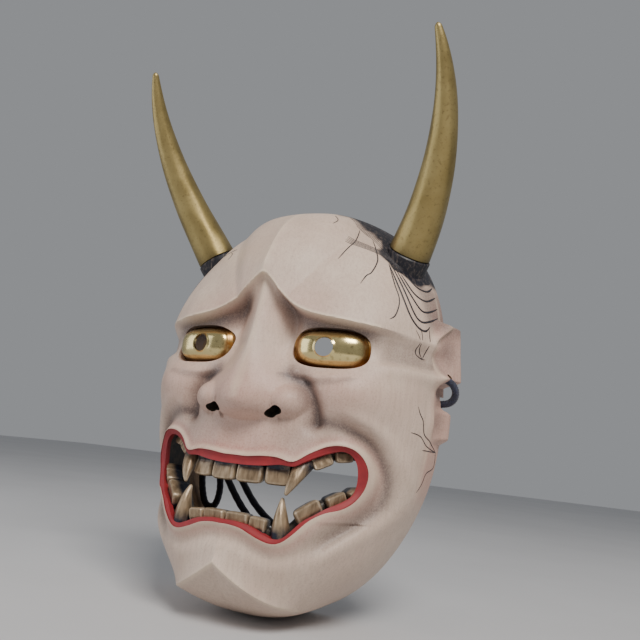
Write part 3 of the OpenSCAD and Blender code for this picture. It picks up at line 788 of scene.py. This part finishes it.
def fang(name, root, tip, radius, side):
    """A curved fang with a blunt ridge down its front."""
    row = upper_row if name.startswith("upper") else lower_row
    start = np.array([root[0], 3.0 - row(root[0]), root[1]])
    end = np.array([tip[0], -tip[1], tip[2]])
    steps = 48
    t = np.linspace(0, 1, steps)
    line = start + (end - start) * t[:, None] + np.outer(4 * t * (1 - t), (0.4, -1.6, 0))
    r = 0.55 + (radius - 0.55) * (1 - t ** 1.15) ** 0.85
    r[0] *= 0.5
    r[1] *= 0.86
    r[-1] *= 0.4
    ridge = lambda i, a: 0.05 * np.cos(3 * a + 0.4) + 0.015 * np.sin(8 * a + 0.3 * i)
    pts, faces = sweep(line, r, 48, ripple=ridge)
    label = "%s_%s_carved" % (name, "left" if side > 0 else "right")
    obj = fix_normals(new_mesh(label, mirrored(pts, side), faces, [TOOTH]))
    shade(obj, 50)
    along = np.repeat(t, len(pts) // steps)
    set_tone(obj, smooth(0.42, 0.12, along), 0.7 * smooth(0.55, 1.0, along))
    return obj


def mirrored(pts, side):
    return np.asarray(pts, float) * [side, 1, 1]


for side, tag in ((1, "left"), (-1, "right")):
    teeth = [(n, tooth_plate(n, x, z, w, h, tilt, side, k)) for k, (n, x, z, w, h, tilt) in enumerate(PLATES)]
    teeth += [(n, fang(n, root, tip, r, side)) for n, root, tip, r in FANGS]
    for name, obj in teeth:
        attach(obj, "mask")
        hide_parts("%s_%s" % (name, tag))

# ---------------------------------------------------------------- horns
HORN_CURVE = np.array([(57, -18.4, 60.8), (70.3, -28.8, 85), (85.3, -51.7, 117), (77.5, -72.6, 150)])
HORN_R = 10.8
TENON_R, TENON_LEN, TENON_FIT = 5.0, 12.0, 0.05
BOSS_R, BOSS_LEN, SEAT_R = HORN_R + 0.6, 17.0, HORN_R + 1.1
horn_axis = (HORN_CURVE[1] - HORN_CURVE[0]) / np.linalg.norm(HORN_CURVE[1] - HORN_CURVE[0])
HORN_BASE = HORN_CURVE[0]


def horn_at(t):
    t = np.asarray(t, float)[:, None]
    u = 1 - t
    c = HORN_CURVE
    return u ** 3 * c[0] + 3 * u * u * t * c[1] + 3 * u * t * t * c[2] + t ** 3 * c[3]


for side, tag in ((1, "left"), (-1, "right")):
    n_ring, n_side = ((220, 72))
    t = np.linspace(0, 1, n_ring)
    r = 1.3 + (HORN_R - 1.3) * (1 - t ** 1.25) ** 0.8
    r[-3:] *= (0.93, 0.72, 0.3)
    r[0] -= 0.4
    line = horn_at(t) + 0.2 * horn_axis
    facets = lambda i, a: 0.006 * np.cos(9 * a + 0.05 * i) + 0.004 * np.sin(5 * a - 0.11 * i)
    pts, faces = sweep(line, r, n_side, ripple=facets)
    horn = fix_normals(new_mesh("horn_%s_gilt" % tag, mirrored(pts, side), faces, [HORN]))
    peg, peg_faces = sweep([HORN_BASE - TENON_LEN * horn_axis, HORN_BASE - (TENON_LEN - 0.5) * horn_axis,
                            HORN_BASE + horn_axis], [TENON_R - 0.5, TENON_R, TENON_R], 48)
    combine(horn, fix_normals(new_mesh("peg", mirrored(peg, side), peg_faces, [WOOD])), "UNION")
    shade(horn, 40)
    place = coords(horn)
    low = (mirrored(place, side) - HORN_CURVE[0]) @ horn_axis
    set_tone(horn, np.exp(-np.maximum(low, 0) / 3.0))
    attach(horn, "horn_" + tag)
    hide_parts("horn_" + tag)
    boss, boss_faces = sweep([HORN_BASE - BOSS_LEN * horn_axis, HORN_BASE - 0.6 * horn_axis, HORN_BASE],
                             [BOSS_R, BOSS_R, HORN_R], 96)
    combine(shell, fix_normals(new_mesh("boss", mirrored(boss, side), boss_faces, [SKIN])), "UNION")
    seat, seat_faces = sweep([HORN_BASE, HORN_BASE + 25 * horn_axis], [SEAT_R, SEAT_R], 96)
    combine(shell, fix_normals(new_mesh("seat", mirrored(seat, side), seat_faces, [SKIN])), "DIFFERENCE")
    bore_r = TENON_R + TENON_FIT
    bore, bore_faces = sweep([HORN_BASE - (TENON_LEN + 0.5) * horn_axis, HORN_BASE + 3 * horn_axis],
                             [bore_r, bore_r], 48)
    combine(shell, fix_normals(new_mesh("bore", mirrored(bore, side), bore_faces, [WOOD])), "DIFFERENCE")

# ---------------------------------------------------------------- cord holes, notches and nostrils
for side in (-1, 1):
    hole_y, hole_z, hole_r = CORD_HOLE
    hole, hole_faces = sweep([(60 * side, hole_y, hole_z), (92 * side, hole_y, hole_z)], [hole_r, hole_r], 32)
    combine(shell, fix_normals(new_mesh("cord_hole", hole, hole_faces, [WOOD])), "DIFFERENCE")
    notch_low, notch_high, notch_y = NOTCH
    outline = np.array([(58, notch_low), (90, notch_low), (90, notch_high), (58, notch_high)]) * [side, 1]
    notch = prism("notch", outline, notch_y, 2.8, [SKIN])
    combine(shell, notch, "DIFFERENCE")
    slot_line = np.array([(13.5, -44, -9), (14.5, -55, -18), (15.5, -64, -26), (16.2, -72, -33)])
    slot_line = slot_line * [side, 1, 1]
    slot, slot_faces = sweep(slot_line, [3.1, 3.1, 3.4, 3.9], 32,
                             ripple=lambda i, a: 0.34 * np.cos(2 * a))
    combine(shell, fix_normals(new_mesh("nostril", slot, slot_faces, [GUM])), "DIFFERENCE")

# ---------------------------------------------------------------- shell finish
place = coords(shell)
ax, zz, deep = np.abs(place[:, 0]), place[:, 2], -place[:, 1]
d_nose = path_dist(ax, zz, NOSE_GROOVE)[0]
d_cheek, u_cheek, _ = path_dist(ax, zz, CHEEK_GROOVE)
d_lip, _, s_lip = path_dist(ax, zz, LIP)
d_bag = path_dist(ax, zz, EYE_BAG)[0]
above = zz - brow_line(ax)
front = smooth(15, 30, deep)
wander = (0.8 * np.sin(0.55 * place[:, 0] + 1.3 * np.sin(0.31 * zz))
          + 0.6 * np.sin(0.83 * zz + 0.7 * place[:, 0]))
# Painted shade: darker paint where shade falls, under the brow ledge, in the nose and cheek grooves, beside
# the upper lip, in the temple crease, in the ear's hollows and under the eye bag, and a darker grey band on
# the side of the head above the ear.
shade_under_brow = 0.8 * smooth(0, 3, -above) * (1 - smooth(4, 13, -above)) * (1 - smooth(48, 60, ax))
painted_shade = front * (shade_under_brow * smooth(3, 12, ax)
                + 0.75 * np.exp(-(d_nose / 3.6) ** 2) + 0.3 * hill(ax, zz, 26, -36, 7, 6))
painted_shade = painted_shade + 0.7 * np.exp(-(d_cheek / 3.0) ** 2) * (1 - smooth(0.75, 1, u_cheek)) * smooth(4, 14, deep)
painted_shade = painted_shade + 0.45 * band(zz, 1, 11, 3) * smooth(52, 60, ax) * smooth(10, 16, deep) * (deep < 45)
ear_side = smooth(66, 72, ax) * (1 - smooth(16, 21, deep))
painted_shade = painted_shade + ear_side * (0.6 * hill(deep, zz, 8.5, 13, 4, 7) + 0.5 * hill(deep, zz, 8, -8, 4, 4)
                          + 0.5 * hill(deep, zz, 10, -22, 3, 5))
painted_shade = painted_shade + 0.55 * smooth(60, 65, ax) * band(zz, 22, 45, 4) * (1 - smooth(20, 26, deep))
painted_shade = painted_shade + front * 0.35 * np.exp(-((d_bag - 2.6) / 1.4) ** 2) * (zz < -8)
pink = front * (0.55 * hill(ax, zz, 0, -18, 22, 12) + 0.35 * hill(ax, zz, 44, -14, 13, 9)
                + 0.45 * hill(ax, zz, 0, -40, 30, 6) + 0.35 * hill(ax, zz, 16, 22, 14, 8)
                + 0.5 * np.exp(-((d_lip - 2) / 2.5) ** 2)) + 0.5 * ear_side
from_axis = np.stack([ax, -deep, zz], 1) - HORN_CURVE[0]
along = from_axis @ horn_axis
aside = np.linalg.norm(from_axis - along[:, None] * horn_axis, axis=1)
black = (1 - smooth(HORN_R + 3.6, HORN_R + 5.4, aside + wander)) * (along > -14)
black = np.maximum(black, smooth(-25, -19, -deep - 1.5 * wander) * smooth(44, 49, zz) * smooth(14, 20, ax))
black = black * (deep > 0.6)
# Painted highlight along the brow edge, the nose ridge, the skin edge round the lips, the chin's V and the
# ear rim.
brow_highlight = 0.8 * np.exp(-((above - 0.3) / 0.9) ** 2) * (ax < 56)
ridge_highlight = front * (brow_highlight + 0.4 * np.exp(-(ax / 1.5) ** 2) * (zz > -22)
                + 0.6 * np.exp(-((d_lip - 1.0) / 1.0) ** 2) * (s_lip > 0)
                + 0.6 * np.exp(-((zz - chin_line(ax) + 0.5) / 1.2) ** 2) * (ax < 30))
ridge_highlight = ridge_highlight + 0.5 * ear_side * np.exp(-((deep - 17 + 9 * smooth(14, 28, zz)) / 1.6) ** 2)
set_tone(shell, pink, painted_shade, black, ridge_highlight)
shade(shell, 38)
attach(shell, "mask")
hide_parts("mask_shell")

# ---------------------------------------------------------------- painted hair and moustache
surface = BVHTree.FromObject(shell, bpy.context.evaluated_depsgraph_get())


def stroke(points, width):
    """A thin raised brush stroke laid on the carved surface, tapered at both ends."""
    p = np.asarray(points, float)
    spacing = np.linalg.norm(np.diff(p, axis=0), axis=1).mean()
    line = smooth_path(p, max(3, int(spacing / (0.7))))
    snapped = [surface.find_nearest(Vector(q) * MM)[:2] for q in line]
    line = np.array([hit for hit, _ in snapped]) / MM
    normal = np.array([n for _, n in snapped])
    for _ in range(3):
        line[1:-1] = 0.5 * line[1:-1] + 0.25 * (line[:-2] + line[2:])
        normal[1:-1] = 0.5 * normal[1:-1] + 0.25 * (normal[:-2] + normal[2:])
    tan = np.gradient(line, axis=0)
    across = np.cross(tan, normal)
    across /= np.linalg.norm(across, axis=1)[:, None]
    normal /= np.linalg.norm(normal, axis=1)[:, None]
    t = np.linspace(0, 1, len(line))
    w = width * (0.25 + 0.75 * np.minimum(1, 6 * np.minimum(t, 1 - t)))[:, None]
    rows = [line + across * w * a + normal * b
            for a, b in ((-0.5, -0.25), (-0.3, 0.13), (0.3, 0.13), (0.5, -0.25))]
    pts = np.stack(rows, 1).reshape(-1, 3)
    last = 4 * len(line) - 4
    return pts, ring_faces(4, len(line)) + [(3, 2, 1, 0), (last, last + 1, last + 2, last + 3)]


def between(first, last, n):
    """Strokes spread evenly from one stroke to another of the same number of points."""
    a, b = np.array(first, float), np.array(last, float)
    return [a + (b - a) * k / (n - 1) for k in range(n)]


# Strokes as (width, points) on the mask's left half; the first group is mirrored.
SIDE_STROKES = [
    (1.5, [(51, -31, 52), (58, -34, 39), (64, -34, 27), (67, -30, 21), (70, -25, 20), (71, -21, 23)]),
    (1.5, [(52, -30, 51), (59, -32, 40), (65, -31, 28), (68, -27, 24), (71, -20, 26), (72, -10, 30)]),
    (1.5, [(55, -30, 49), (61, -30, 39), (67, -27, 31), (69, -21, 30), (71, -9, 35)]),
    (1.5, [(57, -29, 47), (63, -27, 38), (68, -20, 36), (69, -8, 41)]),
    (1.5, [(59, -26, 46), (64, -23, 42), (67, -16, 42), (67, -8, 46)]),
    (0.6, [(67, -31, 19), (69, -28, 14), (68, -29, 9), (70, -25, 7), (71, -23, 7)]),
    (0.6, [(68, -28, 21), (69, -27, 17), (69, -27, 11), (70, -24, 7)]),
    (0.6, [(71, -22, 22), (72, -22, 16), (71, -23, 10), (70, -24, 7)]),
    (0.7, [(71, -29, -16), (71, -27, -19), (72, -24, -22), (73, -22, -28), (74, -15, -31), (74, -6, -35)]),
    (0.6, [(69, -31, -28), (71, -24, -29), (73, -18, -33), (74, -6, -35)]),
    (0.6, [(72, -21, -35), (73, -13, -35), (74, -6, -35)]),
    (0.6, [(74, -6, -35), (73, -4, -42), (72, -12, -45), (71, -14, -50), (69, -18, -54)])]
LEFT_STROKES = [
    (0.8, [(32, -26, 72), (33, -33, 63), (32, -39, 58), (30, -45, 50)]),
    (0.6, [(18, -28, 80), (22, -32, 76), (21, -36, 72)]),
    (0.9, [(40, -27, 66), (44, -31, 58), (46, -34, 52), (46, -40, 45), (44, -42, 42), (43, -46, 37)]),
    (0.9, [(51, -31, 52), (56, -35, 40), (60, -37, 32), (60, -41, 24), (58, -44, 21)])]
LEFT_STROKES += [(0.4, p) for p in between([(30, -26, 74), (38, -26, 68), (46, -27, 60), (52, -26, 55)],
                                           [(24, -22, 79), (34, -20, 74), (42, -21, 67), (50, -24, 58)], 6)]
LEFT_STROKES += [(0.5, p) for p in between([(29, -37, 62), (38, -34, 59), (49, -29, 55), (57, -27, 49)],
                                           [(30, -35, 66), (39, -32, 62), (49, -27, 57), (57, -25, 51)], 5)]
RIGHT_STROKES = [
    (0.8, [(-50, -27, 58), (-44, -32, 58), (-38, -35, 59), (-33, -37, 60)]),
    (0.6, [(-36, -36, 58), (-33, -39, 55), (-34, -41, 52)])]
hair_points, hair_faces = [], []
for width, points in SIDE_STROKES + LEFT_STROKES + RIGHT_STROKES + [
        (w, np.array(p, float) * [-1, 1, 1]) for w, p in SIDE_STROKES]:
    pts, faces = stroke(points, width)
    start = sum(len(p) for p in hair_points)
    hair_points.append(pts)
    hair_faces += [tuple(start + k for k in f) for f in faces]
hair = shade(fix_normals(new_mesh("hair_strands", np.vstack(hair_points), hair_faces, [INK])))
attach(hair, "mask")

# ---------------------------------------------------------------- stage and light
floor_z = float(CAD_BOX[0][2])
corners = [(-3, -3, floor_z), (3, -3, floor_z), (3, 3, floor_z), (-3, 3, floor_z)]
floor = new_mesh("floor", np.array(corners) / MM,
                 [(0, 1, 2, 3)], [floor_material()])

world = bpy.data.worlds.new("world")
bpy.context.scene.world = world
world.use_nodes = True
world.node_tree.nodes["Background"].inputs[0].default_value = (0.66, 0.68, 0.71, 1)
world.node_tree.nodes["Background"].inputs[1].default_value = 0.42


def area_light(name, at, target, size, watts, colour):
    data = bpy.data.lights.new(name, "AREA")
    data.shape = "RECTANGLE"
    data.size, data.size_y = size
    data.energy = watts
    data.color = colour
    obj = bpy.data.objects.new(name, data)
    bpy.context.scene.collection.objects.link(obj)
    obj.location = at
    obj.rotation_euler = (Vector(target) - Vector(at)).to_track_quat("-Z", "Y").to_euler()
    return obj


area_light("key", (0.52, -0.62, 0.78), (0, 0, 0), (0.45, 0.45), 13, (1, 0.96, 0.91))
area_light("fill", (-0.8, -0.55, 0.15), (0, 0, 0), (0.8, 0.8), 3.5, (0.93, 0.96, 1))
